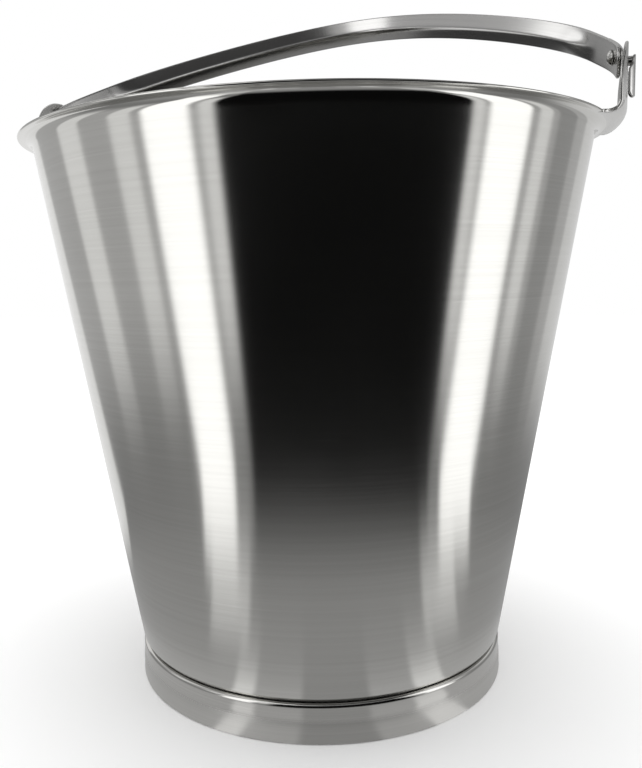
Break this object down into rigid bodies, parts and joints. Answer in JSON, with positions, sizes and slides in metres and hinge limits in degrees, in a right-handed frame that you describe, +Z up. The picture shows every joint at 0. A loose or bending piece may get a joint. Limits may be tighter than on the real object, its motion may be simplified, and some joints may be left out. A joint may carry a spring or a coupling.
{
  "type": "surgical kick bucket pail",
  "caption": "Tapered stainless steel pail with a flared rim, a foot ring, turned-up ears and a half-round bail that swings on riveted hooks, for operating room waste.",
  "frame": {"origin": "centre of the circle that the foot ring stands on", "axes": "+Z up, +X through the right ear along the bail's pivot line, +Y the way the bail leans"},
  "size_m": [0.3312, 0.31, 0.3957],
  "materials": {
    "wall_steel": "brushed round the pail, semi-bright",
    "bottom_steel": "satin",
    "foot_steel": "satin, brushed round the ring",
    "ear_steel": "polished satin",
    "bail_steel": "polished satin",
    "hook_steel": "polished",
    "rivet_steel": "polished"
  },
  "bodies": {
    "pail": {"pail_wall": "wall_steel", "pail_bottom": "bottom_steel", "foot_ring": "foot_steel", "ear_right": "ear_steel", "ear_left": "ear_steel"},
    "bail": {"bail_strip": "bail_steel", "hook_right": "hook_steel", "hook_left": "hook_steel", "rivet_right": "rivet_steel", "rivet_left": "rivet_steel"}
  },
  "joints": [
    {"name": "bail_swing", "type": "hinge", "parent": "pail", "child": "bail", "pos_m": [0, 0, 0.3195], "axis": [1, 0, 0], "range_deg": [-33.5, 160.3]}
  ]
}
